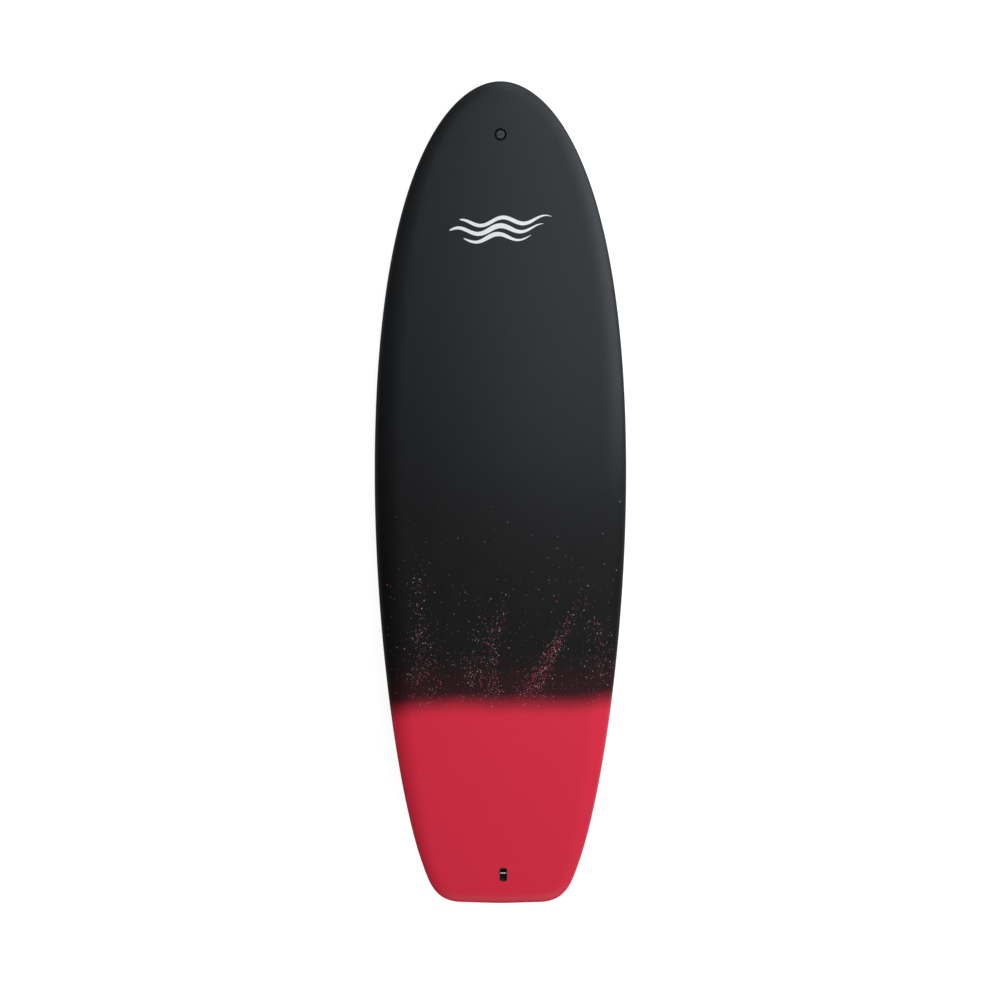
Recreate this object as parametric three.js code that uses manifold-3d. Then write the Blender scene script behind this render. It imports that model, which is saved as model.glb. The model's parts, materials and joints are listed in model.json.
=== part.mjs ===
// Soft-deck surfboard, 6 ft 0 in by 22 1/4 in by 2 3/4 in: a foam core split by a wooden stringer, a glass
// laminate under a soft foam deck skin, a hard bottom skin, a vent, a leash cup and three screwed-in fins.
//
// Millimetres. +Y runs from tail to nose along the stringer, +X to the right of a rider who faces the nose,
// and +Z out of the deck. The origin is on the flat spot of the bottom, halfway along the board.
import * as THREE from "three";
import { mergeVertices } from "three/addons/utils/BufferGeometryUtils.js";
import Module from "manifold-3d";

const wasm = await Module();
wasm.setup();

// ---- Driving dimensions ----
const LENGTH = 1829;
const WIDTH = 565;
const THICKNESS = 70;
const HALF_LENGTH = LENGTH / 2;
const HALF_WIDTH = WIDTH / 2;

const NOSE_THICKNESS = 24;
const TAIL_THICKNESS = 30;
const NOSE_ROCKER = 115; // how far the bottom lifts at the nose tip
const TAIL_ROCKER = 50;
const NOSE_ROCKER_POWER = 2.4;
const TAIL_ROCKER_POWER = 2.2;
const FLAT_HALF_LENGTH = 75; // the bottom is level this far each way from the middle

const APEX = 0.42; // height of the rail's widest line, as a share of the thickness
const CROWN = 0.16; // how far the deck falls towards the rail, as a share of the thickness
const DECK_RAIL = 0.85; // width of the upper rail curve, as a share of the thickness
const BOTTOM_RAIL = 0.5;

const GAP = 0.3; // between pieces that are glued, pressed or screwed together
const SKIN = 4; // soft foam deck skin
const LAMINATE = 1.2; // glass and epoxy under the skin
const BOTTOM_SKIN = 1.8;
const STRINGER = 5;

const VENT = { x: 0, fromNose: 116.9, radius: 13.4, depth: 17 };
const LEASH = { x: 6.4, fromTail: 65, width: 16.2, length: 29.8, depth: 18 };

const FIN_BOX = { length: 122, width: 26, depth: 19, faceDepth: 0.7 };
const TAB = {
  length: 26,
  thickness: 5.6,
  depth: 13.5,
  spacing: 64,
  corner: 1.2,
  overlap: 0.4, // how far a tab reaches into its fin's blade
  clearance: 0.6,
};
const GRUB = {
  radius: 2.2,
  length: 6.4,
  angle: 35, // lean of the screw's axis from the fin's
  contactDepth: 9.5, // where that axis meets the tab's face
  standOff: 2.8, // from there to the screw's tip
  hex: 1.3,
  hexDepth: 2.6,
};
const FIN = { base: 111, depth: 116, thickness: 6.4, edge: 0.8 };
const FINS = [
  { side: "left", x: -1, fromTail: 336, inFromRail: 40, toe: 3, cant: 6 },
  { side: "right", x: 1, fromTail: 336, inFromRail: 40, toe: 3, cant: 6 },
  { side: "centre", x: 0, fromTail: 151, inFromRail: 0, toe: 0, cant: 0 },
];

// ---- Mesh fineness ----
const ROUND_SEGMENTS = 28;
const SMALL_ROUND_SEGMENTS = 16;
const CORNER_SEGMENTS = 5;
const WELD = 1e-4; // points nearer than this are one point
const BEYOND = 20; // cutting solids run this far out past the surface
const END_FLAT = 0.01; // a fully rounded end keeps a straight edge this long on each side of its middle
const UP = new THREE.Vector3(0, 0, 1);

const rad = THREE.MathUtils.degToRad;
const v2 = (x, y) => new THREE.Vector2(x, y);
const v3 = (x, y, z) => new THREE.Vector3(x, y, z);

// ---- Materials ----
const plain = (color, roughness, metalness = 0) =>
  new THREE.MeshStandardMaterial({ color, roughness, metalness });
const COLOURS = {
  deckSkin: () => plain(0x232426, 0.55),
  laminate: () => plain(0xcfd2c4, 0.3),
  bottomSkin: () => plain(0x1b1c1e, 0.25),
  foam: () => plain(0xf2f2ee, 0.9),
  wood: () => plain(0xb98d5a, 0.7),
  blackPlastic: () => plain(0x101112, 0.4),
  fin: () => plain(0x17181a, 0.35),
  steel: () => plain(0xc9ccce, 0.25, 1),
  rubber: () => plain(0x0b0b0c, 0.8),
  membrane: () => plain(0xe8e8e4, 0.8),
};

// ---- Solids ----
function toSolid(geometry) {
  const loose = geometry.index ? geometry.toNonIndexed() : geometry;
  const bare = new THREE.BufferGeometry();
  bare.setAttribute("position", loose.getAttribute("position"));
  const merged = mergeVertices(bare, WELD);
  const mesh = new wasm.Mesh({
    numProp: 3,
    vertProperties: merged.attributes.position.array,
    triVerts: new Uint32Array(merged.index.array),
  });
  return new wasm.Manifold(mesh);
}

function toGeometry(solid) {
  const mesh = solid.getMesh();
  const geometry = new THREE.BufferGeometry();
  geometry.setAttribute("position", new THREE.BufferAttribute(mesh.vertProperties, 3));
  geometry.setIndex(new THREE.BufferAttribute(mesh.triVerts, 1));
  geometry.computeVertexNormals();
  return geometry;
}

// A geometry from a list of triangles, each three Vector3.
function fromTriangles(triangles) {
  return new THREE.BufferGeometry().setFromPoints(triangles.flat());
}

// Two triangles that share the edge from a to c, facing the other way if flipped.
function addQuad(triangles, [a, b, c, d], flipped = false) {
  if (flipped) triangles.push([a, c, b], [a, d, c]);
  else triangles.push([a, b, c], [a, c, d]);
}

// A straight-sided solid of a flat shape, from height low to height high.
function extruded(shape, low, high, curveSegments = CORNER_SEGMENTS) {
  const depth = high - low;
  const geometry = new THREE.ExtrudeGeometry(shape, { depth, bevelEnabled: false, curveSegments });
  return geometry.translate(0, 0, low);
}

// A solid turned about Z from a closed profile of [radius, height] points.
function turned(profile, segments = ROUND_SEGMENTS) {
  const points = profile.map(([radius, height]) => v2(radius, height));
  return new THREE.LatheGeometry(points, segments).rotateX(Math.PI / 2);
}

function roundedRectangle(width, length, radius) {
  const [x, y] = [width / 2, length / 2];
  const shape = new THREE.Shape();
  shape.moveTo(-x + radius, -y);
  shape.lineTo(x - radius, -y);
  shape.absarc(x - radius, -y + radius, radius, -Math.PI / 2, 0);
  shape.lineTo(x, y - radius);
  shape.absarc(x - radius, y - radius, radius, 0, Math.PI / 2);
  shape.lineTo(-x + radius, y);
  shape.absarc(-x + radius, y - radius, radius, Math.PI / 2, Math.PI);
  shape.lineTo(-x, -y + radius);
  shape.absarc(-x + radius, -y + radius, radius, Math.PI, Math.PI * 1.5);
  return shape;
}

// ---- Plan outline, right half, from the nose tip round to the middle of the tail ----
const WIDE_Y = 50; // the widest point sits a little ahead of the middle
const TAIL_CORNER = v2(0.614 * HALF_WIDTH, -HALF_LENGTH + 84);
const TAIL_FLAT = v2(0.302 * HALF_WIDTH, -HALF_LENGTH + 2);
const OUTLINE_CURVES = [
  {
    steps: 16,
    curve: new THREE.CubicBezierCurve(
      v2(0, HALF_LENGTH),
      v2(110, HALF_LENGTH),
      v2(HALF_WIDTH, HALF_LENGTH - 182),
      v2(HALF_WIDTH, WIDE_Y),
    ),
  },
  {
    steps: 11,
    curve: new THREE.CubicBezierCurve(
      v2(HALF_WIDTH, WIDE_Y),
      v2(HALF_WIDTH, WIDE_Y - 370),
      v2(TAIL_CORNER.x + 53, TAIL_CORNER.y + 142),
      TAIL_CORNER,
    ),
  },
  {
    steps: 7,
    curve: new THREE.CubicBezierCurve(
      TAIL_CORNER,
      v2(TAIL_CORNER.x - 16, TAIL_CORNER.y - 45),
      v2(TAIL_FLAT.x + 58, TAIL_FLAT.y + 1),
      TAIL_FLAT,
    ),
  },
  {
    steps: 3,
    curve: new THREE.CubicBezierCurve(
      TAIL_FLAT,
      v2(TAIL_FLAT.x - 28, TAIL_FLAT.y - 0.5),
      v2(28, -HALF_LENGTH),
      v2(0, -HALF_LENGTH),
    ),
  },
];

// Points along the outline with their inward normals. finer multiplies the number of steps.
function outlinePoints(finer) {
  const points = [];
  for (const { steps, curve } of OUTLINE_CURVES) {
    const count = steps * finer;
    for (let i = points.length ? 1 : 0; i <= count; i++) {
      const tangent = curve.getTangent(i / count);
      points.push({ at: curve.getPoint(i / count), inward: v2(tangent.y, -tangent.x) });
    }
  }
  return points;
}

const OUTLINE = outlinePoints(1);
const FINE_OUTLINE = outlinePoints(12).map((p) => p.at);

// Distance from a point of the plan to the outline of the right half.
function railDistance(x, y) {
  const point = v3(Math.abs(x), y, 0);
  const line = new THREE.Line3();
  const nearest = v3(0, 0, 0);
  let least = Infinity;
  for (let i = 1; i < FINE_OUTLINE.length; i++) {
    const [a, b] = [FINE_OUTLINE[i - 1], FINE_OUTLINE[i]];
    line.start.set(a.x, a.y, 0);
    line.end.set(b.x, b.y, 0);
    line.closestPointToPoint(point, true, nearest);
    least = Math.min(least, nearest.distanceTo(point));
  }
  return least;
}

// Half width of the board at y.
function halfWidth(y) {
  for (let i = 1; i < FINE_OUTLINE.length; i++) {
    const [a, b] = [FINE_OUTLINE[i - 1], FINE_OUTLINE[i]];
    if (b.y <= y && a.y > b.y) return THREE.MathUtils.mapLinear(y, a.y, b.y, a.x, b.x);
  }
  return FINE_OUTLINE.at(-1).x;
}

// ---- Heights ----
function rocker(y) {
  const along = Math.max(0, Math.abs(y) - FLAT_HALF_LENGTH) / (HALF_LENGTH - FLAT_HALF_LENGTH);
  return y > 0 ? NOSE_ROCKER * along ** NOSE_ROCKER_POWER : TAIL_ROCKER * along ** TAIL_ROCKER_POWER;
}

function thickness(y) {
  const end = y > 0 ? NOSE_THICKNESS : TAIL_THICKNESS;
  return end + (THICKNESS - end) * (1 - Math.min(1, Math.abs(y) / HALF_LENGTH) ** 2);
}

const apexHeight = (y) => rocker(y) + APEX * thickness(y);

// The rail's quarter-round: 0 at the rail's edge, 1 from width inwards.
function railRise(distance, width) {
  const across = Math.min(1, distance / width);
  return Math.sqrt(1 - (1 - across) ** 2);
}

function deckHeight(x, y, distance = railDistance(x, y)) {
  const crowned = thickness(y) * (1 - CROWN * Math.min(1, Math.abs(x) / Math.max(halfWidth(y), 1)) ** 2);
  const apex = apexHeight(y);
  return apex + (rocker(y) + crowned - apex) * railRise(distance, DECK_RAIL * thickness(y));
}

function bottomHeight(x, y, distance = railDistance(x, y)) {
  const apex = apexHeight(y);
  return apex - (apex - rocker(y)) * railRise(distance, BOTTOM_RAIL * thickness(y));
}

// ---- Surface grid of the right half: columns round the outline, rows from deck spine to bottom spine ----
const SPINE_INSET = 105; // the columns meet on the centre line this far in from each end
const SEAM_ANGLE = 36; // where the deck skin's lower edge lies on the rail
const SEAM_STEPS = [0, 0.35, 0.65, 1]; // millimetres round the rail from there to the bottom skin's edge
const DECK_FLAT_ROWS = [1, 0.6, 0.25]; // shares of the way from the rail curve to the spine
const DECK_RAIL_ANGLES = [90, 60, 30]; // around the upper rail, 0 at its apex
const BOTTOM_RAIL_ROWS = [
  { angle: 18 },
  ...SEAM_STEPS.map((past) => ({ angle: SEAM_ANGLE, past })),
  { angle: 60 },
  { angle: 90 },
];
const BOTTOM_FLAT_ROWS = [0.45, 1];
const ROWS = [
  ...DECK_FLAT_ROWS.map((share) => ({ deck: true, share })),
  ...DECK_RAIL_ANGLES.map((angle) => ({ deck: true, angle })),
  { apex: true },
  ...BOTTOM_RAIL_ROWS.map((row) => ({ deck: false, ...row })),
  ...BOTTOM_FLAT_ROWS.map((share) => ({ deck: false, share })),
];
const DECK_SEAM_ROW = ROWS.findIndex((row) => row.past === SEAM_STEPS[0]);
const BOTTOM_SEAM_ROW = ROWS.findIndex((row) => row.past === SEAM_STEPS.at(-1));
const CORE_STEP_ROW = DECK_SEAM_ROW + 1; // the core fills in behind the thinner bottom skin after this row

// Where the columns end on the centre line: evenly by their place along the outline.
function spinePoints() {
  const lengths = [0];
  for (let i = 1; i < OUTLINE.length; i++) {
    lengths.push(lengths[i - 1] + OUTLINE[i].at.distanceTo(OUTLINE[i - 1].at));
  }
  const reach = HALF_LENGTH - SPINE_INSET;
  return lengths.map((s) => v2(0, reach - (2 * reach * s) / lengths.at(-1)));
}

function columnPoints({ at, inward }, spine) {
  const way = spine.clone().sub(at);
  const slant = way.length() / Math.max(way.dot(inward), 0.5 * way.length());
  return ROWS.map((row) => {
    if (row.apex) return v3(at.x, at.y, apexHeight(at.y));
    const railWidth = (row.deck ? DECK_RAIL : BOTTOM_RAIL) * thickness(at.y);
    const start = (railWidth * slant) / way.length();
    const angle = rad(row.angle) + (row.past ?? 0) / railWidth;
    const along = row.share ? start + (1 - start) * row.share : start * (1 - Math.cos(angle));
    const plan = at.clone().addScaledVector(way, along);
    if (along === 1) plan.x = 0;
    const height = row.deck ? deckHeight : bottomHeight;
    return v3(plan.x, plan.y, height(plan.x, plan.y));
  });
}

const SPINE = spinePoints();
const GRID = OUTLINE.map((point, i) => columnPoints(point, SPINE[i]));

// Outward unit normals at the grid's points, from the faces around each. The seam's rows share one normal,
// so that the edges on either side of it stay parallel.
function gridNormals() {
  const normals = GRID.map((column) => column.map(() => v3(0, 0, 0)));
  for (let u = 0; u + 1 < GRID.length; u++) {
    for (let j = 0; j + 1 < ROWS.length; j++) {
      const across = GRID[u + 1][j + 1].clone().sub(GRID[u][j]);
      const other = GRID[u][j + 1].clone().sub(GRID[u + 1][j]);
      const face = across.cross(other);
      for (const [du, dj] of [[0, 0], [1, 0], [0, 1], [1, 1]]) normals[u + du][j + dj].add(face);
    }
  }
  normals.forEach((column, u) => {
    const seam = column.slice(DECK_SEAM_ROW, BOTTOM_SEAM_ROW + 1);
    const shared = seam.reduce((sum, normal) => sum.add(normal), v3(0, 0, 0));
    seam.forEach((normal) => normal.copy(shared));
    column.forEach((normal, j) => {
      if (GRID[u][j].x < WELD) normal.x = 0;
      normal.normalize();
    });
  });
  return normals;
}

const NORMALS = gridNormals();

// The grid moved inwards by an amount for each row.
function insetGrid(amount) {
  return GRID.map((column, u) =>
    column.map((point, j) => point.clone().addScaledVector(NORMALS[u][j], -amount(j))),
  );
}

const mirrored = (point) => v3(-point.x, point.y, point.z);

// Adds both halves of a grid between two rows. Faces look outwards, or inwards if flipped.
function addSurface(triangles, grid, firstRow, lastRow, flipped) {
  for (let u = 0; u + 1 < grid.length; u++) {
    for (let j = firstRow; j < lastRow; j++) {
      const quad = [grid[u][j], grid[u + 1][j], grid[u + 1][j + 1], grid[u][j + 1]];
      addQuad(triangles, quad, flipped);
      addQuad(triangles, quad.map(mirrored), !flipped);
    }
  }
}

// Adds the band that joins an outer and an inner grid along one row, facing the next row unless flipped.
function addRim(triangles, outer, inner, row, flipped) {
  for (let u = 0; u + 1 < outer.length; u++) {
    const quad = [outer[u][row], outer[u + 1][row], inner[u + 1][row], inner[u][row]];
    addQuad(triangles, quad, flipped);
    addQuad(triangles, quad.map(mirrored), !flipped);
  }
}

function shell(outerDepth, innerDepth, onDeck) {
  const [outer, inner] = [insetGrid(() => outerDepth), insetGrid(() => innerDepth)];
  const first = onDeck ? 0 : BOTTOM_SEAM_ROW;
  const last = onDeck ? DECK_SEAM_ROW : ROWS.length - 1;
  const triangles = [];
  addSurface(triangles, outer, first, last, false);
  addSurface(triangles, inner, first, last, true);
  addRim(triangles, outer, inner, onDeck ? last : first, !onDeck);
  return toSolid(fromTriangles(triangles));
}

// ---- Local frames on the board's surfaces ----
function surfaceFrame(height, x, y, outwards, turn = 0) {
  const step = 2;
  const slopeX = (height(x + step, y) - height(x - step, y)) / (2 * step);
  const slopeY = (height(x, y + step) - height(x, y - step)) / (2 * step);
  const z = v3(-slopeX, -slopeY, 1).normalize().multiplyScalar(outwards);
  const forward = v3(Math.sin(turn), Math.cos(turn), 0);
  const side = forward.clone().cross(z).normalize();
  return new THREE.Matrix4().makeBasis(side, z.clone().cross(side), z).setPosition(x, y, height(x, y));
}

function placed(name, matrix) {
  const group = new THREE.Group();
  group.name = name;
  group.applyMatrix4(matrix);
  group.updateMatrixWorld(true);
  return group;
}

function piece(group, name, geometry, material) {
  const mesh = new THREE.Mesh(geometry, material);
  mesh.name = name;
  group.add(mesh);
  return mesh;
}

const board = new THREE.Group();
const pockets = []; // solids in the board's frame that are cut from its shells and core

function cutPocket(group, geometry) {
  pockets.push(toSolid(geometry.clone().applyMatrix4(group.matrixWorld)));
}

// ---- Vent: a glued housing, a membrane that lets air out and no water in, and a screw on an O-ring ----
function buildVent() {
  const y = HALF_LENGTH - VENT.fromNose;
  const group = placed("vent", surfaceFrame(deckHeight, VENT.x, y, 1));
  const { radius, depth } = VENT;
  const [flange, seat, bore, body, top] = [2.6, 3.6, 6.4, 10.6, -0.1];
  const [headRadius, shankRadius, airHole] = [9.2, 6, 1];
  const [floor, sill, bevel] = [depth - 2, 9, 0.6];
  const recess = headRadius + 0.5;
  const gutter = { width: 0.7, depth: 1.9 }; // the flange slopes down to a narrow flat round the head

  const housing = turned([
    [airHole, -depth], [body, -depth], [body, -flange], [radius, -flange], [radius, top - bevel],
    [radius - bevel, top], [recess + gutter.width, -gutter.depth], [recess, -gutter.depth],
    [recess, -seat], [bore, -seat], [bore, -floor], [airHole, -floor], [airHole, -depth],
  ]);
  piece(group, "vent_housing", housing, COLOURS.blackPlastic());

  const [membraneBottom, membraneTop] = [-floor + GAP, -floor + 1];
  const membraneRadius = bore - GAP;
  const membrane = turned(
    [[0, membraneBottom], [membraneRadius, membraneBottom], [membraneRadius, membraneTop], [0, membraneTop]],
    SMALL_ROUND_SEGMENTS,
  );
  piece(group, "vent_membrane", membrane, COLOURS.membrane());

  const ring = { radius: 7.85, thickness: 1.24, lift: 0.8 };
  const torus = new THREE.TorusGeometry(ring.radius, ring.thickness / 2, 6, ROUND_SEGMENTS);
  piece(group, "vent_o_ring", torus.translate(0, 0, -seat + ring.lift), COLOURS.rubber());

  const headBottom = -seat + 1.75; // the O-ring fills the space under the head
  const headTop = top - 0.3;
  const headEdge = 0.4;
  const screw = toSolid(turned([
    [airHole, -sill], [shankRadius - bevel, -sill], [shankRadius, -sill + bevel], [shankRadius, headBottom],
    [headRadius, headBottom], [headRadius, headTop - headEdge], [headRadius - headEdge, headTop],
    [airHole, headTop], [airHole, -sill],
  ]));
  const slot = { length: 8, width: 1.6, depth: 1 };
  const cutter = new THREE.BoxGeometry(slot.length, slot.width, 2 * slot.depth).translate(0, 0, headTop);
  piece(group, "vent_screw", toGeometry(screw.subtract(toSolid(cutter))), COLOURS.blackPlastic());

  const clear = radius + GAP;
  const wide = body + GAP;
  cutPocket(group, turned([[0, -flange - GAP], [clear, -flange - GAP], [clear, BEYOND], [0, BEYOND]]));
  cutPocket(group, turned([[0, -depth - GAP], [wide, -depth - GAP], [wide, 0], [0, 0]]));
  return group;
}

// ---- Leash cup: a deep cup whose flange lies under the deck skin, with a steel bar across it ----
function buildLeashCup() {
  const y = -HALF_LENGTH + LEASH.fromTail;
  const group = placed("leash_point", surfaceFrame(deckHeight, LEASH.x, y, 1));
  const { width, length, depth } = LEASH;
  const [wall, corner, floor, rimDepth] = [1.4, 5.5, 3, 0.2];
  const [flangeTop, flangeBottom, flangeWidth, bodyWall] = [SKIN + GAP, SKIN + GAP + 2, 6, 2];
  const bar = { radius: 1.9, forward: 3, depth: 6.9, length: width + 2.6 }; // ends 1.3 past the collar

  const collar = roundedRectangle(width, length, corner);
  const flange = roundedRectangle(width + 2 * flangeWidth, length + 2 * flangeWidth, corner + flangeWidth);
  const body = roundedRectangle(width + 2 * bodyWall, length + 2 * bodyWall, corner + bodyWall);
  const hollow = roundedRectangle(width - 2 * wall, length - 2 * wall, corner - wall);
  const rod = (grow) => new THREE.CylinderGeometry(
    bar.radius + grow,
    bar.radius + grow,
    bar.length + 2 * grow,
    SMALL_ROUND_SEGMENTS,
  ).rotateZ(Math.PI / 2);
  const barHole = rod(GAP).translate(0, bar.forward, -bar.depth);

  const cup = toSolid(extruded(collar, -flangeBottom, -rimDepth))
    .add(toSolid(extruded(flange, -flangeBottom, -flangeTop)))
    .add(toSolid(extruded(body, -depth, -flangeTop)))
    .subtract(toSolid(extruded(hollow, -depth + floor, BEYOND)))
    .subtract(toSolid(barHole));
  piece(group, "leash_cup", toGeometry(cup), COLOURS.blackPlastic());

  const barMesh = piece(group, "leash_bar", rod(0), COLOURS.steel());
  barMesh.position.set(0, bar.forward, -bar.depth);

  const grown = (w, l, r) => roundedRectangle(w + 2 * GAP, l + 2 * GAP, r + GAP);
  cutPocket(group, extruded(grown(width, length, corner), -depth - GAP, BEYOND));
  cutPocket(group, extruded(
    grown(width + 2 * flangeWidth, length + 2 * flangeWidth, corner + flangeWidth),
    -flangeBottom - GAP,
    -SKIN,
  ));
  cutPocket(group, extruded(
    grown(width + 2 * bodyWall, length + 2 * bodyWall, corner + bodyWall),
    -depth - GAP,
    -flangeBottom,
  ));
  return group;
}

// ---- Fins. In a fin's frame +Z points out of the bottom and +Y to the nose ----
const FIN_FRONT = v2(FIN.base / 2, 0);
const FIN_BACK = v2(-FIN.base / 2, 0);
const FIN_TIP = v2(-72, FIN.depth);
const FIN_TIP_BACK = v2(-78, FIN.depth - 6);
const LEADING_EDGE = new THREE.CubicBezierCurve(FIN_FRONT, v2(33, 52), v2(-8, 104), FIN_TIP);
const TRAILING_EDGE = new THREE.CubicBezierCurve(FIN_BACK, v2(-36, 44), v2(-52, 84), FIN_TIP_BACK);
const FIN_HEIGHTS = [0, 0.12, 0.26, 0.4, 0.54, 0.67, 0.79, 0.89, 0.96, 1];
const CHORD_STEPS = [0, 0.04, 0.12, 0.25, 0.42, 0.62, 0.82, 1];

const FIN_THINNING = 0.72; // share of the thickness lost from base to tip
const FOIL_SCALE = 2.6; // sqrt(s) (1 - s) is at most 0.385, a third of the way back

// Half the foil's thickness at a share of the chord from the leading edge.
function foil(share, height) {
  const most = (FIN.thickness / 2) * (1 - FIN_THINNING * height);
  return FOIL_SCALE * most * Math.sqrt(share) * (1 - share) + (FIN.edge / 2) * share;
}

// The section of the blade at one height. A side fin is flat on its inboard face: outboard is -1 or 1.
function finSection(height, outboard) {
  const front = LEADING_EDGE.getPoint(height);
  const back = TRAILING_EDGE.getPoint(height);
  const flatFace = (-outboard * FIN.thickness) / 2;
  const place = (share, face) => {
    const at = front.clone().lerp(back, share);
    const half = foil(share, height);
    const x = outboard === 0 ? face * half : face === outboard ? flatFace + 2 * outboard * half : flatFace;
    return v3(x, at.x, at.y);
  };
  const inner = CHORD_STEPS.map((share) => place(share, -1));
  const outer = CHORD_STEPS.slice(1).reverse().map((share) => place(share, 1));
  return [...inner, ...outer];
}

function finBlade(outboard) {
  const sections = FIN_HEIGHTS.map((height) => finSection(height, outboard));
  const triangles = [];
  for (let i = 0; i + 1 < sections.length; i++) {
    const [low, high] = [sections[i], sections[i + 1]];
    low.forEach((_, k) => {
      const next = (k + 1) % low.length;
      addQuad(triangles, [low[k], low[next], high[next], high[k]]);
    });
  }
  const cap = (section, flipped) => {
    const middle = section.reduce((sum, p) => sum.add(p), v3(0, 0, 0)).divideScalar(section.length);
    section.forEach((p, k) => {
      const next = section[(k + 1) % section.length];
      triangles.push(flipped ? [middle, next, p] : [middle, p, next]);
    });
  };
  cap(sections[0], true);
  cap(sections.at(-1), false);
  return toSolid(fromTriangles(triangles));
}

const TAB_PLACES = [TAB.spacing / 2, -TAB.spacing / 2];

function tabGeometry(grow, low, high) {
  const shape = roundedRectangle(TAB.thickness + 2 * grow, TAB.length + 2 * grow, TAB.corner);
  return extruded(shape, low, high, 2);
}

function finWithTabs(outboard) {
  return TAB_PLACES.reduce(
    (solid, y) => solid.add(toSolid(tabGeometry(0, -TAB.depth, TAB.overlap).translate(0, y, 0))),
    finBlade(outboard),
  );
}

// Places a thing that lies along a grub screw's axis, with Z out of the box. The screw leans outboard.
function grubMatrix(lean, y) {
  const start = v3((lean * TAB.thickness) / 2, y, -GRUB.contactDepth);
  const turn = new THREE.Quaternion().setFromAxisAngle(v3(0, 1, 0), lean * rad(GRUB.angle));
  return new THREE.Matrix4().compose(start, turn, v3(1, 1, 1));
}

function grubScrew() {
  const { radius, length, hex, hexDepth } = GRUB;
  const [point, edge] = [0.8, 0.4];
  const shank = turned(
    [
      [0, 0], [radius - point, 0], [radius, point],
      [radius, length - edge], [radius - edge, length], [0, length],
    ],
    SMALL_ROUND_SEGMENTS,
  );
  const key = new THREE.CylinderGeometry(hex, hex, 2 * hexDepth, 6).rotateX(Math.PI / 2);
  return toGeometry(toSolid(shank).subtract(toSolid(key.translate(0, 0, length))));
}

function finBoxSolid(cant, lean) {
  const { length, width, depth, faceDepth } = FIN_BOX;
  const body = roundedRectangle(width, length, width / 2 - END_FLAT);
  let solid = toSolid(extruded(body, -depth, -faceDepth));
  for (const y of TAB_PLACES) {
    const slot = tabGeometry(TAB.clearance, -TAB.depth - TAB.clearance, BEYOND).translate(0, y, 0);
    solid = solid.subtract(toSolid(slot.applyMatrix4(cant)));
    const [boreRadius, boreLength] = [GRUB.radius + GAP, GRUB.length + BEYOND];
    const bore = turned(
      [[0, 0], [boreRadius, 0], [boreRadius, boreLength], [0, boreLength]],
      SMALL_ROUND_SEGMENTS,
    );
    solid = solid.subtract(toSolid(bore.applyMatrix4(grubMatrix(lean, y)).applyMatrix4(cant)));
  }
  return solid;
}

function buildFin({ side, x, fromTail, inFromRail, toe, cant }) {
  const y = -HALF_LENGTH + fromTail;
  const across = x * (halfWidth(y) - inFromRail);
  const group = placed(`${side}_fin_set`, surfaceFrame(bottomHeight, across, y, -1, -x * rad(toe)));
  const outboard = -x; // local X runs to the board's left, because local Z points down
  const lean = outboard || 1;
  const canted = new THREE.Group();
  canted.rotation.y = outboard * rad(cant);
  canted.updateMatrix();
  group.add(canted);

  const box = finBoxSolid(canted.matrix, lean);
  piece(group, `${side}_fin_box`, toGeometry(box), COLOURS.blackPlastic());
  piece(canted, `${side}_fin`, toGeometry(finWithTabs(outboard)), COLOURS.fin());
  TAB_PLACES.forEach((tabY, i) => {
    const screw = piece(canted, `${side}_grub_screw_${i ? "rear" : "front"}`, grubScrew(), COLOURS.steel());
    screw.applyMatrix4(grubMatrix(lean, tabY));
    screw.translateZ(GRUB.standOff);
  });

  const { length, width, depth } = FIN_BOX;
  const pocket = roundedRectangle(width + 2 * GAP, length + 2 * GAP, width / 2 + GAP - END_FLAT);
  cutPocket(group, extruded(pocket, -depth - GAP, BEYOND));
  return group;
}

board.add(buildVent(), buildLeashCup(), ...FINS.map(buildFin));

// ---- Shells, core halves and stringer, with the pockets cut out ----
const withPockets = (solid) => pockets.reduce((rest, pocket) => rest.subtract(pocket), solid);

const laminateTop = SKIN + GAP;
const laminateFoot = laminateTop + LAMINATE;
piece(board, "deck_skin", toGeometry(withPockets(shell(0, SKIN, true))), COLOURS.deckSkin());
piece(
  board,
  "deck_laminate",
  toGeometry(withPockets(shell(laminateTop, laminateFoot, true))),
  COLOURS.laminate(),
);
piece(board, "bottom_skin", toGeometry(withPockets(shell(0, BOTTOM_SKIN, false))), COLOURS.bottomSkin());

function coreSolid() {
  const depth = (row) => (row <= CORE_STEP_ROW ? laminateFoot : BOTTOM_SKIN) + GAP;
  const triangles = [];
  addSurface(triangles, insetGrid(depth), 0, ROWS.length - 1, false);
  return withPockets(toSolid(fromTriangles(triangles)));
}

// A slab across the whole board between two planes of constant X.
function slab(low, high) {
  const size = 2 * LENGTH;
  return toSolid(new THREE.BoxGeometry(high - low, size, size).translate((low + high) / 2, 0, 0));
}

const core = coreSolid();
const foamEdge = STRINGER / 2 + GAP;
piece(board, "stringer", toGeometry(core.intersect(slab(-STRINGER / 2, STRINGER / 2))), COLOURS.wood());
piece(board, "core_left", toGeometry(core.intersect(slab(-WIDTH, -foamEdge))), COLOURS.foam());
piece(board, "core_right", toGeometry(core.intersect(slab(foamEdge, WIDTH))), COLOURS.foam());

export default board;
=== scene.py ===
"""Soft-deck surfboard seen from straight above its deck, nose up."""

import json
import math

import bmesh
import bpy
import numpy as np
from mathutils import Matrix, Quaternion, Vector


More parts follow.
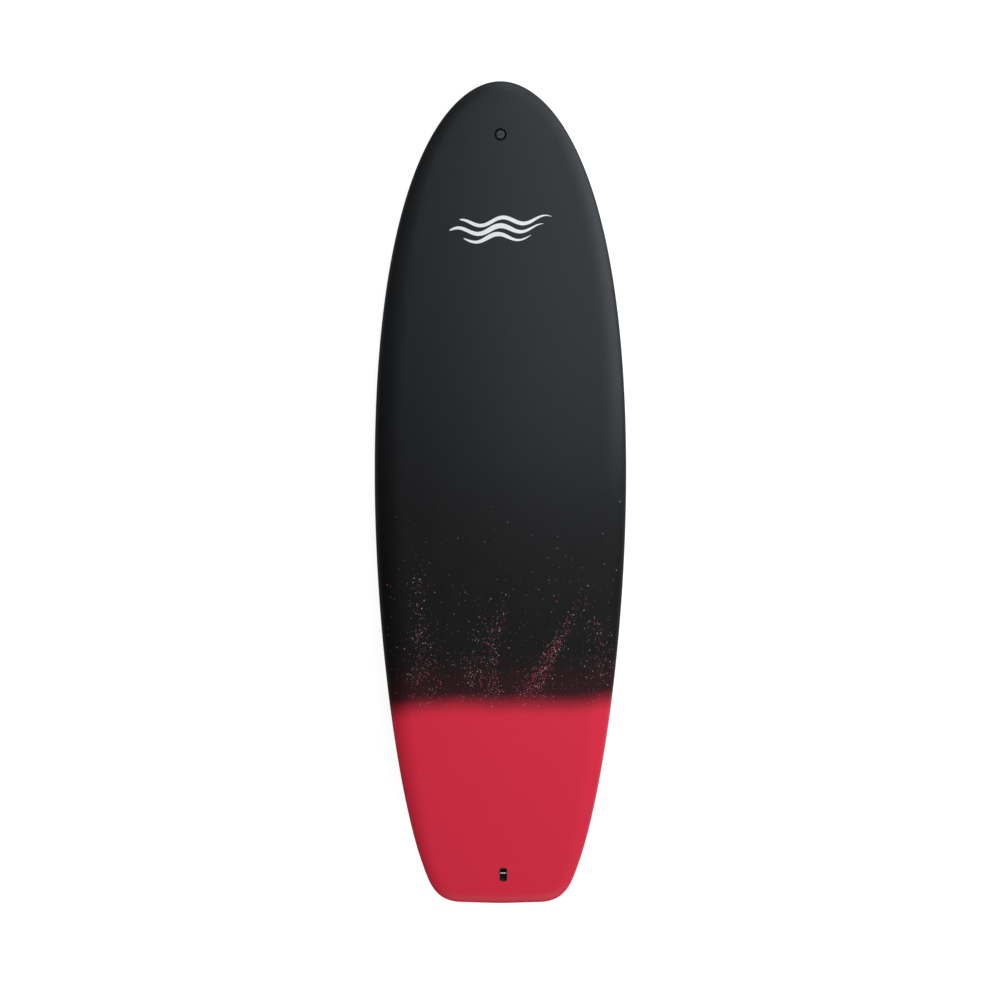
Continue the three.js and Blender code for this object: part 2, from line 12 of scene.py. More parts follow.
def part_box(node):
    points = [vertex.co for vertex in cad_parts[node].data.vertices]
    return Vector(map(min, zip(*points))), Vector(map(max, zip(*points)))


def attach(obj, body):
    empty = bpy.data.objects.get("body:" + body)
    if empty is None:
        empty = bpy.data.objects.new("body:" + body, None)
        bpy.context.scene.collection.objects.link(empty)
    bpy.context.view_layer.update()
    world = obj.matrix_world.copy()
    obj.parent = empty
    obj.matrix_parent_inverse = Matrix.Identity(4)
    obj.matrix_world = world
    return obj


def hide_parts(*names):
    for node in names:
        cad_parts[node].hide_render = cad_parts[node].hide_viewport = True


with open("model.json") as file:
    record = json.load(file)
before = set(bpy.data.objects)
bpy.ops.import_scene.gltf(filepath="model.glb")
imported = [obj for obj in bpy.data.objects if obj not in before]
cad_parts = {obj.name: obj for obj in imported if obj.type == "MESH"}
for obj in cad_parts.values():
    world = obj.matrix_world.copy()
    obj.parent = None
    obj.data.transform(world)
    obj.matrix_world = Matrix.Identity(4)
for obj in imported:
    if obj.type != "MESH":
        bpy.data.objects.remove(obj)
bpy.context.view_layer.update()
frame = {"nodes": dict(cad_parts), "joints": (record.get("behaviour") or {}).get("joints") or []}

# ---- Driving dimensions, in metres ----
DECK_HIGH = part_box("deck_skin")[1]
HALF_LENGTH = DECK_HIGH.y
HALF_WIDTH = DECK_HIGH.x
THICKNESS = 0.070
NOSE_THICKNESS, TAIL_THICKNESS = 0.024, 0.030
NOSE_ROCKER, NOSE_ROCKER_POWER = 0.115, 2.4
TAIL_ROCKER, TAIL_ROCKER_POWER = 0.050, 2.2
FLAT_HALF_LENGTH = 0.075
APEX = 0.42  # height of the rail's widest line, as a share of the thickness
CROWN = 0.16  # how far the deck falls towards the rail, as a share of the thickness
DECK_RAIL, BOTTOM_RAIL = 0.85, 0.5  # widths of the rail's curves, as shares of the thickness
SPINE_INSET = 0.105  # how far the mesh's middle line stays from the ends
SEAM_ANGLE = 36  # degrees below the rail's widest line where the two skins meet
SEAM_GAP = 0.0004

SKIN, BOTTOM_SKIN = 0.004, 0.0018
GAP = 0.0003

VENT = {
    "radius": 0.0134,
    "body": 0.0106,
    "bore": 0.0064,
    "air_way": 0.001,
    "depth": 0.017,
    "floor": 0.002,
    "flange": 0.0026,
    "shelf": 0.0036,
    "lip": 0.0006,
    "gutter": 0.0019,
    "round_screw": 0.0005,  # free width round the screw's head
}
VENT_SCREW = {
    "top": -0.0004,
    "under": -0.00185,
    "end": -0.009,
    "shank": 0.006,
    "dish": 0.0052,
    "slot_length": 0.0090,
    "slot_width": 0.0016,
    "slot_depth": 0.001,
}
LEASH = {
    "width": 0.0162,
    "length": 0.0298,
    "corner": 0.0055,
    "depth": 0.018,
    "wall": 0.0014,
    "floor": 0.003,
    "body": 0.002,  # how far the body reaches past the slot
    "flange": 0.006,
    "flange_top": 0.0043,
    "flange_under": 0.0063,
}
LEASH_BAR = {"radius": 0.0019, "forward": 0.003, "depth": 0.0069, "into_wall": 0.0013}

FIN_BOX = {"length": 0.122, "width": 0.026, "depth": 0.019, "face": 0.0007}
ALMOST = 1e-5  # what a fully rounded end lacks, so that its corners stay apart
TAB = {
    "length": 0.026,
    "thickness": 0.0056,
    "depth": 0.0135,
    "spacing": 0.064,
    "corner": 0.0012,
    "overlap": 0.0004,  # how far a tab reaches into its fin's blade
    "clearance": 0.0006,
}
FIN = {"base": 0.111, "depth": 0.116, "thickness": 0.0064, "edge": 0.0008, "tip_cut": 0.006}
FINS = {"left": (-1, 3, 6), "right": (1, 3, 6), "centre": (0, 0, 0)}  # side, toe and cant in degrees
GRUB = {"radius": 0.0022, "length": 0.0064, "hexagon": 0.0013, "key_depth": 0.0026, "bore": 0.0025}
GRUB_BORE_START = -0.0028  # along the screw's axis, behind its tip

# ---- Paint and painted shade, in metres on the deck ----
FADE_Y = -0.4712
FADE_HALF_WIDTH = 0.030
FADE_CLOUD, FADE_GRIT = 0.020, 0.014  # how far coarse and fine noise shift the edge
LEFT_DIP, RIGHT_RISE = 0.018, 0.009  # how far the paint's edge bends at the rails
HAZE_REACH = 0.125  # ahead of the edge
# Where the charcoal darkens to black: sprayed paint that is also painted shade, darker towards the tail.
BLACK_STARTS, BLACK_FULL = 0.72, -0.25

# ---- Outline, right half, from the nose tip to the middle of the tail ----
WIDE_Y = 0.050
CORNER = (0.614 * HALF_WIDTH, -HALF_LENGTH + 0.084)
FLAT = (0.302 * HALF_WIDTH, -HALF_LENGTH + 0.002)
OUTLINE_CURVES = [  # steps and the four corners of each curve
    (16, (0, HALF_LENGTH), (0.110, HALF_LENGTH), (HALF_WIDTH, HALF_LENGTH - 0.182), (HALF_WIDTH, WIDE_Y)),
    (11, (HALF_WIDTH, WIDE_Y), (HALF_WIDTH, WIDE_Y - 0.370),
     (CORNER[0] + 0.053, CORNER[1] + 0.142), CORNER),
    (7, CORNER, (CORNER[0] - 0.016, CORNER[1] - 0.045), (FLAT[0] + 0.058, FLAT[1] + 0.001), FLAT),
    (3, FLAT, (FLAT[0] - 0.028, FLAT[1] - 0.0005), (0.028, -HALF_LENGTH), (0, -HALF_LENGTH)),
]


def bezier(corners, t):
    """Points of a cubic Bezier curve, and its tangents, for an array of parameters."""
    a, b, c, d = (np.array(p, float) for p in corners)
    t = np.asarray(t, float)[:, None]
    s = 1 - t
    points = s**3 * a + 3 * s * s * t * b + 3 * s * t * t * c + t**3 * d
    tangents = s * s * (b - a) + 2 * s * t * (c - b) + t * t * (d - c)
    return points, tangents / np.linalg.norm(tangents, axis=1, keepdims=True)


def outline(finer):
    """Points round the right half of the outline and their inward normals."""
    points, inward = [], []
    for steps, *corners in OUTLINE_CURVES:
        first = 1 if points else 0
        at, tangent = bezier(corners, np.linspace(0, 1, steps * finer + 1)[first:])
        points.extend(at)
        inward.extend(np.column_stack([tangent[:, 1], -tangent[:, 0]]))
    return np.array(points), np.array(inward)


FINE_OUTLINE = outline(24)[0]


def rail_distance(x, y):
    """Distance from points of the plan to the outline."""
    points = np.column_stack([np.abs(np.ravel(x)), np.ravel(y)])
    a, b = FINE_OUTLINE[:-1], FINE_OUTLINE[1:]
    way = b - a
    square = (way**2).sum(1)
    least = []
    for part in np.array_split(points, max(1, len(points) // 2000)):
        share = ((part[:, None] - a) * way).sum(2) / square
        nearest = a + way * np.clip(share, 0, 1)[..., None]
        least.append(np.sqrt(((part[:, None] - nearest) ** 2).sum(2)).min(1))
    return np.concatenate(least).reshape(np.shape(x))


def half_width(y):
    order = np.argsort(FINE_OUTLINE[:, 1])
    return np.interp(y, FINE_OUTLINE[order, 1], FINE_OUTLINE[order, 0])


# ---- Heights ----
def rocker(y):
    along = np.maximum(0, np.abs(y) - FLAT_HALF_LENGTH) / (HALF_LENGTH - FLAT_HALF_LENGTH)
    nose = NOSE_ROCKER * along**NOSE_ROCKER_POWER
    tail = TAIL_ROCKER * along**TAIL_ROCKER_POWER
    return np.where(np.asarray(y) > 0, nose, tail)


def thickness(y):
    end = np.where(np.asarray(y) > 0, NOSE_THICKNESS, TAIL_THICKNESS)
    return end + (THICKNESS - end) * (1 - np.minimum(1, np.abs(y) / HALF_LENGTH) ** 2)


def apex_height(y):
    return rocker(y) + APEX * thickness(y)


def rail_rise(distance, width):
    across = np.minimum(1, distance / width)
    return np.sqrt(1 - (1 - across) ** 2)


def deck_height(x, y):
    across = np.minimum(1, np.abs(x) / np.maximum(half_width(y), 0.001))
    crowned = rocker(y) + thickness(y) * (1 - CROWN * across**2)
    rise = rail_rise(rail_distance(x, y), DECK_RAIL * thickness(y))
    return apex_height(y) + (crowned - apex_height(y)) * rise


def bottom_height(x, y):
    rise = rail_rise(rail_distance(x, y), BOTTOM_RAIL * thickness(y))
    return apex_height(y) - (apex_height(y) - rocker(y)) * rise


# ---- Meshes ----
def new_object(name, vertices, faces):
    mesh = bpy.data.meshes.new(name)
    mesh.from_pydata([tuple(v) for v in vertices], [], [tuple(f) for f in faces])
    obj = bpy.data.objects.new(name, mesh)
    bpy.context.scene.collection.objects.link(obj)
    return obj


def tidy(obj, weld=1e-6):
    """Joins vertices that coincide and turns every face outwards."""
    bm = bmesh.new()
    bm.from_mesh(obj.data)
    bmesh.ops.remove_doubles(bm, verts=bm.verts, dist=weld)
    bmesh.ops.dissolve_degenerate(bm, edges=bm.edges, dist=1e-7)
    bmesh.ops.recalc_face_normals(bm, faces=bm.faces)
    bm.to_mesh(obj.data)
    bm.free()
    return obj


def apply_modifiers(obj):
    graph = bpy.context.evaluated_depsgraph_get()
    baked = bpy.data.meshes.new_from_object(obj.evaluated_get(graph))
    old = obj.data
    obj.modifiers.clear()
    obj.data = baked
    bpy.data.meshes.remove(old)
    baked.name = obj.name
    return obj


def cut(obj, *cutters):
    """Cuts closed meshes out of a closed mesh, and deletes them."""
    for cutter in cutters:
        modifier = obj.modifiers.new("cut", "BOOLEAN")
        modifier.operation = "DIFFERENCE"
        modifier.solver = "EXACT"
        modifier.object = cutter
    apply_modifiers(obj)
    for cutter in cutters:
        bpy.data.objects.remove(cutter)
    return obj


def bevel(obj, width, segments, angle=40):
    modifier = obj.modifiers.new("bevel", "BEVEL")
    modifier.width = width
    modifier.segments = segments
    modifier.limit_method = "ANGLE"
    modifier.angle_limit = math.radians(angle)
    return apply_modifiers(obj)


def smooth(obj, angle=35):
    obj.data.polygons.foreach_set("use_smooth", [True] * len(obj.data.polygons))
    obj.data.set_sharp_from_angle(angle=math.radians(angle))
    return obj


def dress(obj, material, body="board", replaces=()):
    """Gives a piece its material and the body it moves with, and hides the CAD parts it replaces."""
    obj.data.materials.clear()
    obj.data.materials.append(material)
    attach(obj, body)
    if replaces:
        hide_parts(*replaces)
    return obj


def place(obj, matrix):
    obj.data.transform(matrix)
    return obj


def loft(name, loops):
    """A solid through loops of points. Each loop has as many points as the next."""
    count = len(loops[0])
    vertices = [p for loop in loops for p in loop]
    faces = []
    for i in range(len(loops) - 1):
        for k in range(count):
            a, b = i * count + k, i * count + (k + 1) % count
            faces.append((a, b, b + count, a + count))
    faces.append(range(count))
    faces.append(range(len(vertices) - count, len(vertices)))
    return tidy(new_object(name, vertices, faces))


def lathe(name, profile, segments=72):
    """A solid turned about Z from (radius, height) points that start and end on the axis or close."""
    closed = profile[0] == profile[-1]
    points = profile[:-1] if closed else profile
    angles = [2 * math.pi * k / segments for k in range(segments)]
    vertices = [(r * math.cos(a), r * math.sin(a), z) for a in angles for r, z in points]
    count = len(points)
    faces = []
    for k in range(segments):
        here, there = k * count, ((k + 1) % segments) * count
        for i in range(count if closed else count - 1):
            j = (i + 1) % count
            faces.append((here + i, there + i, there + j, here + j))
    return tidy(new_object(name, vertices, faces))


def rounded_loop(width, length, radius, height, corner_points=9):
    """Points of a rounded rectangle about Z at one height."""
    x, y = width / 2 - radius, length / 2 - radius
    points = []
    for corner, (sx, sy) in enumerate([(1, -1), (1, 1), (-1, 1), (-1, -1)]):
        for k in range(corner_points):
            a = math.radians(-90 + 90 * corner + 90 * k / (corner_points - 1))
            points.append((sx * x + radius * math.cos(a), sy * y + radius * math.sin(a), height))
    return points


def prism(name, width, length, radius, low, high):
    return loft(name, [rounded_loop(width, length, radius, height) for height in (low, high)])


def cylinder(name, radius, low, high, segments=48):
    return lathe(name, [(0, low), (radius, low), (radius, high), (0, high)], segments)


# ---- Skins ----
def skin_rows(deck):
    """Rows from the spine over the rail: on the deck side or not, angle, share, distance past the angle."""
    flat = list(np.linspace(1, 0, 20)[:-1])
    round_deck = np.linspace(90, 0, 19)[:-1]
    if deck:
        rows = [(True, None, s, 0) for s in flat]
        rows += [(True, a, 0, 0) for a in round_deck]
        return rows + [(False, a, 0, 0) for a in np.linspace(0, SEAM_ANGLE, 9)]
    rows = [(False, SEAM_ANGLE, 0, SEAM_GAP)]
    rows += [(False, a, 0, 0) for a in np.linspace(SEAM_ANGLE + 5, 90, 11)]
    return rows + [(False, None, s, 0) for s in reversed(flat)]


def skin_grid(deck, finer):
    at, inward = outline(finer)
    lengths = np.concatenate([[0], np.cumsum(np.linalg.norm(np.diff(at, axis=0), axis=1))])
    reach = HALF_LENGTH - SPINE_INSET
    spine = np.column_stack([np.zeros(len(at)), reach - 2 * reach * lengths / lengths[-1]])
    way = spine - at
    far = np.linalg.norm(way, axis=1)
    slant = far / np.maximum((way * inward).sum(1), 0.5 * far)
    columns = []
    for on_deck, angle, share, past in skin_rows(deck):
        rail = (DECK_RAIL if on_deck else BOTTOM_RAIL) * thickness(at[:, 1])
        start = rail * slant / far
        if angle is None:
            along = start + (1 - start) * share
        else:
            along = start * (1 - np.cos(math.radians(angle) + past / rail))
        plan = at + way * along[:, None]
        x = np.where(plan[:, 0] < 1e-6, 0, plan[:, 0])
        height = deck_height(x, plan[:, 1]) if on_deck else bottom_height(x, plan[:, 1])
        columns.append(np.column_stack([x, plan[:, 1], height]))
    return np.stack(columns, axis=1)


def skin(name, deck, depth, finer=4):
    """A skin of the whole board, built as an outer surface and given its thickness inwards."""
    grid = skin_grid(deck, finer)
    columns, rows = grid.shape[:2]
    right = grid.reshape(-1, 3)
    vertices = np.concatenate([right, right * (-1, 1, 1)])
    faces = []
    for u in range(columns - 1):
        for j in range(rows - 1):
            a = u * rows + j
            quad = (a, a + rows, a + rows + 1, a + 1)
            faces.append(quad)
            faces.append(tuple(k + len(right) for k in reversed(quad)))
    obj = new_object(name, vertices, faces)
    bm = bmesh.new()
    bm.from_mesh(obj.data)
    bmesh.ops.remove_doubles(bm, verts=bm.verts, dist=1e-6)
    bm.to_mesh(obj.data)
    bm.free()
    shell = obj.modifiers.new("thickness", "SOLIDIFY")
    shell.thickness = depth
    shell.offset = -1
    return apply_modifiers(obj)


# ---- Frames on the board's surfaces, as the CAD places its fittings ----
def surface_frame(height, x, y, outwards, turn=0):
    """A frame on the deck or the bottom, with Z along the surface's normal."""
    step = 0.002

    def at(dx, dy):
        return float(height(np.array([x + dx]), np.array([y + dy]))[0])

    slope_x = at(step, 0) - at(-step, 0)
    slope_y = at(0, step) - at(0, -step)
    z = Vector((-slope_x / (2 * step), -slope_y / (2 * step), 1)).normalized() * outwards
    side = Vector((math.sin(turn), math.cos(turn), 0)).cross(z).normalized()
    basis = Matrix((side, z.cross(side), z)).transposed().to_4x4()
    basis.translation = (x, y, at(0, 0))
    return basis


def fitting_frame(node, height, outwards, middle, turn=0):
    """The frame of a fitting, found from a CAD node whose box is centred at middle in that frame."""
    low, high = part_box(node)
    centre = (low + high) / 2
    x, y = centre.x, centre.y
    for _ in range(3):
        found = surface_frame(height, x, y, outwards, turn)
        offset = centre - found @ Vector(middle)
        x, y = x + offset.x, y + offset.y
    return surface_frame(height, x, y, outwards, turn)


def axis_frame(joint):
    """A frame with its origin on a hinge and Z along its axis."""
    axis = Vector(joint["axis"]).normalized()
    turn = Vector((0, 0, 1)).rotation_difference(axis).to_matrix().to_4x4()
    return Matrix.Translation(joint["pos_m"]) @ turn


# ---- Node helpers for materials ----
class Shader:
    """A Principled material with short calls for the nodes that drive it."""

    def __init__(self, name, **sockets):
        self.material = bpy.data.materials.new(name)
        self.material.use_nodes = True
        self.tree = self.material.node_tree
        self.bsdf = self.tree.nodes["Principled BSDF"]
        self.position = self.node("ShaderNodeTexCoord").outputs["Object"]
        for socket, value in sockets.items():
            self.bsdf.inputs[socket.replace("_", " ")].default_value = value

    def node(self, kind, **settings):
        node = self.tree.nodes.new(kind)
        for key, value in settings.items():
            setattr(node, key, value)
        return node

    def feed(self, socket, value):
        if isinstance(value, bpy.types.NodeSocket):
            self.tree.links.new(value, socket)
        else:
            socket.default_value = value

    def math(self, operation, a, b=0.0):
        node = self.node("ShaderNodeMath", operation=operation)
        self.feed(node.inputs[0], a)
        self.feed(node.inputs[1], b)
        return node.outputs[0]

    def parts(self):
        node = self.node("ShaderNodeSeparateXYZ")
        self.feed(node.inputs[0], self.position)
        return node.outputs

    def scaled(self, x, y, z):
        node = self.node("ShaderNodeMapping")
        node.inputs["Scale"].default_value = (x, y, z)
        self.feed(node.inputs["Vector"], self.position)
        return node.outputs[0]

    def noise(self, scale, detail=3.0, roughness=0.5, vector=None, distortion=0.0):
        node = self.node("ShaderNodeTexNoise")
        node.inputs["Scale"].default_value = scale
        node.inputs["Detail"].default_value = detail
        node.inputs["Roughness"].default_value = roughness
        node.inputs["Distortion"].default_value = distortion
        self.feed(node.inputs["Vector"], vector or self.position)
        return node.outputs["Fac"]

    def cells(self, scale, feature):
        node = self.node("ShaderNodeTexVoronoi", feature=feature)
        node.inputs["Scale"].default_value = scale
        self.feed(node.inputs["Vector"], self.position)
        return node.outputs["Distance"]

    def ease(self, value, low, high, to_low=0.0, to_high=1.0):
        """Maps low to high onto a smooth step."""
        node = self.node("ShaderNodeMapRange", interpolation_type="SMOOTHSTEP")
        self.feed(node.inputs["Value"], value)
        node.inputs["From Min"].default_value = low
        node.inputs["From Max"].default_value = high
        node.inputs["To Min"].default_value = to_low
        node.inputs["To Max"].default_value = to_high
        return node.outputs[0]

    def mix(self, factor, a, b):
        node = self.node("ShaderNodeMix", data_type="RGBA")
        self.feed(node.inputs[0], factor)
        self.feed(node.inputs[6], a if isinstance(a, bpy.types.NodeSocket) else (*a, 1))
        self.feed(node.inputs[7], b if isinstance(b, bpy.types.NodeSocket) else (*b, 1))
        return node.outputs[2]

    def colour(self, value):
        self.feed(self.bsdf.inputs["Base Color"], value)

    def rough(self, value):
        self.feed(self.bsdf.inputs["Roughness"], value)

    def bump(self, height, distance, strength):
        node = self.node("ShaderNodeBump")
        node.inputs["Distance"].default_value = distance
        node.inputs["Strength"].default_value = strength
        self.feed(node.inputs["Height"], height)
        self.feed(self.bsdf.inputs["Normal"], node.outputs[0])


# ---- Materials ----
CHARCOAL = (0.0112, 0.0130, 0.0146)
# Sprayed black at the tail end of the fade, which also stands in as painted shade.
BLACK_PAINT_AND_SHADE = (0.0036, 0.0035, 0.0041)
RED_PAINT = (0.84, 0.0240, 0.063)
HAZE = (0.085, 0.004, 0.009)


def paint_and_shade_masks(s):
    """Masks of the deck's paint: the red tail, the haze ahead of it, and the black over the charcoal, which
    is both sprayed paint and painted shade darkening towards the tail.
    """
    x, y, _ = s.parts()
    left = s.math("MULTIPLY", s.ease(x, -0.155, -0.250), LEFT_DIP)
    right = s.math("MULTIPLY", s.ease(x, 0.165, 0.245), RIGHT_RISE)
    edge = s.math("ADD", s.math("SUBTRACT", FADE_Y, left), right)
    edge = s.math("SUBTRACT", edge, y)
    cloud = s.math("MULTIPLY", s.math("SUBTRACT", s.noise(9, 4, 0.55), 0.5), FADE_CLOUD)
    grit = s.math("MULTIPLY", s.math("SUBTRACT", s.noise(420, 2, 0.6), 0.5), FADE_GRIT)
    edge = s.math("ADD", edge, s.math("ADD", cloud, grit))
    red = s.ease(edge, -FADE_HALF_WIDTH, FADE_HALF_WIDTH)
    return red, s.ease(edge, -HAZE_REACH, 0.0), s.ease(y, BLACK_STARTS, BLACK_FULL)


def soft_skin_material():
    """A satin foam skin with a fine grain: charcoal, sprayed black with painted shade towards the tail, and
    red at it.
    """
    s = Shader("soft_skin", Specular_IOR_Level=0.35)
    red, haze, black = paint_and_shade_masks(s)
    grain = s.noise(900, 2, 0.6)
    # Charcoal to black towards the tail: sprayed paint and painted shade.
    ground = s.mix(black, CHARCOAL, BLACK_PAINT_AND_SHADE)
    ground = s.mix(s.math("MULTIPLY", haze, 0.34), ground, HAZE)
    colour = s.mix(red, ground, RED_PAINT)
    s.colour(s.mix(s.ease(grain, 0.2, 0.8, 0.0, 0.16), colour, (0.0, 0.0, 0.0)))
    handled = s.noise(22, 4, 0.6)
    s.rough(s.math("ADD", s.ease(handled, 0.3, 0.7, 0.38, 0.405), s.math("MULTIPLY", red, 0.05)))
    cells = s.math("MULTIPLY", s.cells(1200, "SMOOTH_F1"), 0.7)
    s.bump(s.math("ADD", cells, s.math("MULTIPLY", s.noise(420, 3), 0.5)), 0.00006, 0.5)
    return s.material


def bottom_slick_material():
    s = Shader("bottom_slick", Specular_IOR_Level=0.5)
    streaks = s.noise(60, 4, 0.6, s.scaled(4, 0.25, 4))
    cloud = s.noise(6, 4, 0.55)
    s.colour(s.mix(s.ease(cloud, 0.3, 0.7), (0.0135, 0.0140, 0.0150), (0.0180, 0.0185, 0.0195)))
    s.rough(s.ease(streaks, 0.25, 0.75, 0.24, 0.38))
    s.bump(s.math("ADD", streaks, s.noise(25, 2)), 0.00012, 0.35)
    return s.material


def moulded_material(name, colour, low=0.32, high=0.48, gloss=0.5):
    """Moulded plastic with the fine spark-eroded texture of its mould."""
    s = Shader(name, Specular_IOR_Level=gloss)
    grain = s.noise(1400, 3, 0.6)
    lighter = tuple(1.5 * c for c in colour)
    s.colour(s.mix(s.ease(s.noise(110, 4, 0.6), 0.3, 0.75), colour, lighter))
    s.rough(s.ease(s.noise(240, 3), 0.3, 0.7, low, high))
    s.bump(grain, 0.00006, 0.6)
    return s.material


def fin_material():
    """Glass-filled nylon: dark, with short fibres that show as fine pale flecks."""
    s = Shader("fin_nylon", Specular_IOR_Level=0.5, Coat_Weight=0.25, Coat_Roughness=0.18)
    fibre = s.noise(900, 2, 0.5, s.scaled(1, 1, 0.12))
    cross = s.noise(900, 2, 0.5, s.scaled(1, 0.12, 1))
    flecks = s.ease(s.math("MAXIMUM", fibre, cross), 0.64, 0.74)
    s.colour(s.mix(s.math("MULTIPLY", flecks, 0.5), (0.0095, 0.0100, 0.0108), (0.055, 0.056, 0.058)))
    s.rough(s.ease(s.noise(70, 4), 0.3, 0.7, 0.28, 0.42))
    s.bump(s.math("ADD", fibre, cross), 0.00005, 0.4)
    return s.material


def steel_material():
    s = Shader("stainless_steel", Metallic=1.0)
    lines = s.noise(700, 4, 0.6, s.scaled(0.12, 1, 1))
    s.colour(s.mix(s.ease(lines, 0.3, 0.7), (0.42, 0.44, 0.44), (0.54, 0.56, 0.56)))
    s.rough(s.ease(lines, 0.25, 0.75, 0.16, 0.32))
    s.bump(lines, 0.00003, 0.5)
    return s.material


def print_material(name, colour, dark):
    """Screen-printed ink or sprayed droplets: slightly mottled and matte."""
    s = Shader(name, Specular_IOR_Level=0.4)
    s.colour(s.mix(s.ease(s.noise(260, 4, 0.6), 0.35, 0.75), colour, dark))
    s.rough(s.ease(s.noise(600, 3), 0.3, 0.7, 0.45, 0.6))
    s.bump(s.noise(700, 3), 0.00004, 0.5)
    return s.material


def rubber_material():
    s = Shader("o_ring_rubber", Specular_IOR_Level=0.35)
    s.colour(s.mix(s.noise(400, 3), (0.008, 0.008, 0.008), (0.016, 0.016, 0.016)))
    s.rough(s.ease(s.noise(900, 3), 0.3, 0.7, 0.6, 0.8))
    return s.material


def foam_material():
    """Expanded bead foam: pale cells with darker lines between them."""
    s = Shader("bead_foam", Specular_IOR_Level=0.25)
    wall = s.cells(260, "DISTANCE_TO_EDGE")
    edge = s.ease(wall, 0.0, 0.12)
    s.colour(s.mix(edge, (0.62, 0.62, 0.60), (0.86, 0.86, 0.84)))
    s.rough(0.9)
    s.bump(edge, 0.0004, 0.6)
    return s.material


def wood_material():
    s = Shader("stringer_wood", Specular_IOR_Level=0.3)
    rings = s.noise(26, 5, 0.6, s.scaled(3, 0.12, 6), 1.5)
    pores = s.noise(700, 2, 0.6, s.scaled(1, 0.06, 1))
    wood = s.mix(s.ease(rings, 0.3, 0.7), (0.36, 0.20, 0.085), (0.56, 0.36, 0.17))
    s.colour(s.mix(s.ease(pores, 0.6, 0.75, 0.0, 0.5), wood, (0.16, 0.08, 0.03)))
    s.rough(s.ease(rings, 0.3, 0.7, 0.6, 0.75))
    s.bump(pores, 0.0001, 0.5)
    return s.material


def laminate_material():
    """Woven glass cloth in clear epoxy, seen as a fine grid."""
    s = Shader("glass_laminate", Specular_IOR_Level=0.5)
    x, y, _ = s.parts()
    warp = s.math("SINE", s.math("MULTIPLY", x, 4200))
    weft = s.math("SINE", s.math("MULTIPLY", y, 4200))
    weave = s.ease(s.math("MULTIPLY", warp, weft), -1.0, 1.0)
    s.colour(s.mix(weave, (0.46, 0.48, 0.42), (0.62, 0.64, 0.56)))
    s.rough(s.ease(s.noise(80, 3), 0.3, 0.7, 0.2, 0.34))
    s.bump(weave, 0.0001, 0.5)
    return s.material


def membrane_material():
    s = Shader("vent_membrane", Specular_IOR_Level=0.2)
    s.colour(s.mix(s.noise(1500, 3), (0.66, 0.66, 0.63), (0.80, 0.80, 0.78)))
    s.rough(s.ease(s.noise(900, 3), 0.3, 0.7, 0.8, 0.95))
    s.bump(s.noise(2200, 2), 0.00005, 0.6)
    return s.material


# ---- Vent ----
def vent_frame():
    """A frame with its origin on the deck and Z along the vent screw's axis."""
    return axis_frame(next(joint for joint in frame["joints"] if joint["child"] == "vent_screw"))


def vent_ring_profile(recess):
    """Radii and heights round the housing, whose flange slopes down like a gutter to the screw's recess."""
    outer, body, bore, air_way = (VENT[part] for part in ("radius", "body", "bore", "air_way"))
    depth, shelf, flange, gutter = (-VENT[part] for part in ("depth", "shelf", "flange", "gutter"))
    lip = outer - VENT["lip"]
    slope = []
    for step in range(1, 8):
        share = step / 8
        radius = lip + (recess + 0.0003 - lip) * share
        slope.append((radius, -0.0001 + gutter * math.sin(math.pi / 2 * share)))
    return [
        (air_way, depth), (body, depth), (body, flange), (outer, flange), (outer, -VENT["lip"]),
        (outer - 0.0002, -0.0002), (lip, -0.0001), *slope, (recess, gutter - 0.0001), (recess, shelf),
        (bore, shelf), (bore, depth + VENT["floor"]), (air_way, depth + VENT["floor"]), (air_way, depth),
    ]


def vent_screw_profile(head):
    """Radii and heights round the screw, from its air way out to its head and back over its dished top."""
    top, under, end = (VENT_SCREW[part] for part in ("top", "under", "end"))
    shank, dish, air_way = VENT_SCREW["shank"], VENT_SCREW["dish"], VENT["air_way"]
    return [
        (air_way, end), (shank - 0.0006, end), (shank, end + 0.0006), (shank, under), (head, under),
        (head, top - 0.0006), (head - 0.0002, top - 0.0002), (head - 0.0006, top),
        (dish, top), (dish - 0.0004, top - 0.0003), (air_way, top - 0.0003), (air_way, end),
    ]


def build_vent(housing_black_and_shade, screw_plastic):
    place_at = vent_frame()
    low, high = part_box("vent_screw")
    head = (high.x - low.x) / 2
    housing = lathe("vent_housing_fine", vent_ring_profile(head + VENT["round_screw"]), 96)
    place(smooth(housing), place_at)
    # The housing's near-black plastic is also painted shade in the ring round the screw.
    dress(housing, housing_black_and_shade, replaces=["vent_housing"])

    screw = lathe("vent_screw_fine", vent_screw_profile(head), 96)
    length, width, depth = (VENT_SCREW["slot_" + part] for part in ("length", "width", "depth"))
    slot = prism("slot", length, width, 0.0006, VENT_SCREW["top"] - depth, 0.001)
    place(smooth(cut(screw, slot)), place_at)
    dress(screw, screw_plastic, "vent_screw", ["vent_screw"])


# ---- Leash cup ----
def cup_frame():
    return fitting_frame("leash_bar", deck_height, 1, (0, LEASH_BAR["forward"], -LEASH_BAR["depth"]))


def cup_loops():
    """Loops from the cup's bottom up its outside, over its rim and down the inside of the slot."""
    body, flange, wall = LEASH["body"], LEASH["flange"], -LEASH["wall"]
    bottom, floor = -LEASH["depth"], -LEASH["depth"] + LEASH["floor"]
    top, under = -LEASH["flange_top"], -LEASH["flange_under"]
    steps = [  # how far past the slot's outline, and height
        (body - 0.001, bottom), (body, bottom + 0.001), (body, under), (flange, under), (flange, top),
        (0, top), (0, -0.0006), (-0.0002, -0.0003), (-0.0006, -0.0002),
        (wall + 0.0004, -0.0002), (wall + 0.0001, -0.0004), (wall, -0.0008),
        (wall, floor + 0.0014), (wall - 0.0004, floor + 0.0004), (wall - 0.0014, floor),
    ]
    width, length, corner = LEASH["width"], LEASH["length"], LEASH["corner"]
    return [
        rounded_loop(width + 2 * grow, length + 2 * grow, corner + grow, height)
        for grow, height in steps
    ]


